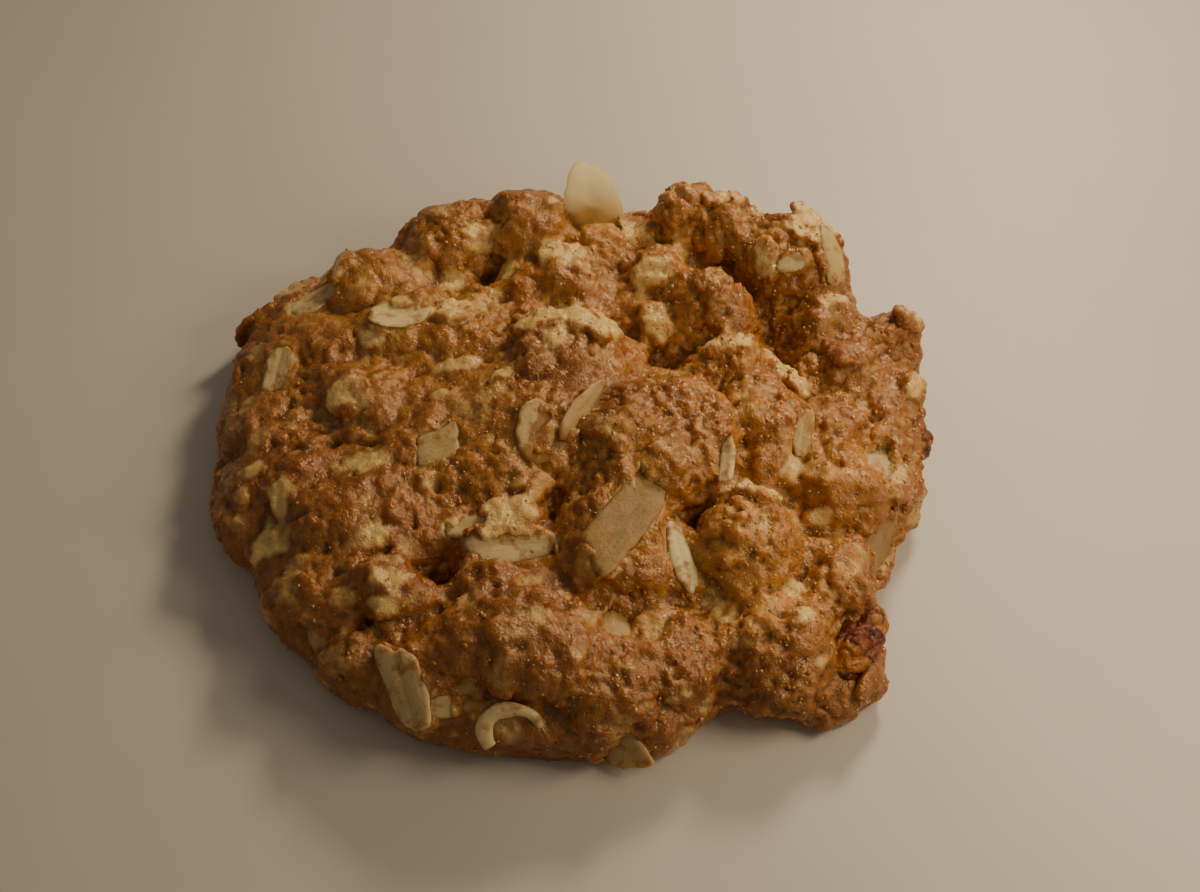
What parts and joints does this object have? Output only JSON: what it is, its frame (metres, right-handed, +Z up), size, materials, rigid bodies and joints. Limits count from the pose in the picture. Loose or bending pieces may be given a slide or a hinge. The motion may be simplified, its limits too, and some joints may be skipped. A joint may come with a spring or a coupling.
{
  "type": "oatmeal raisin cookie",
  "caption": "Round home-baked oatmeal cookie with a craggy browned top, rolled-oat flakes fused to the dough and raisins at its edge; it lies on a flat underside.",
  "frame": {"origin": "middle of the flat underside, below the middle of the cookie's box", "axes": "+Z up, away from the underside; -Y towards the near edge of the picture; +X to its right"},
  "size_m": [0.0744, 0.0714, 0.0159],
  "materials": {
    "cookie": "crumbly browned dough, slightly oily on its crests, with cream oat flakes",
    "raisin": "dark wrinkled skin, glossy"
  },
  "bodies": {
    "root": {"cookie": "cookie", "raisin_corner": "raisin", "raisin_rim": "raisin"}
  },
  "joints": []
}
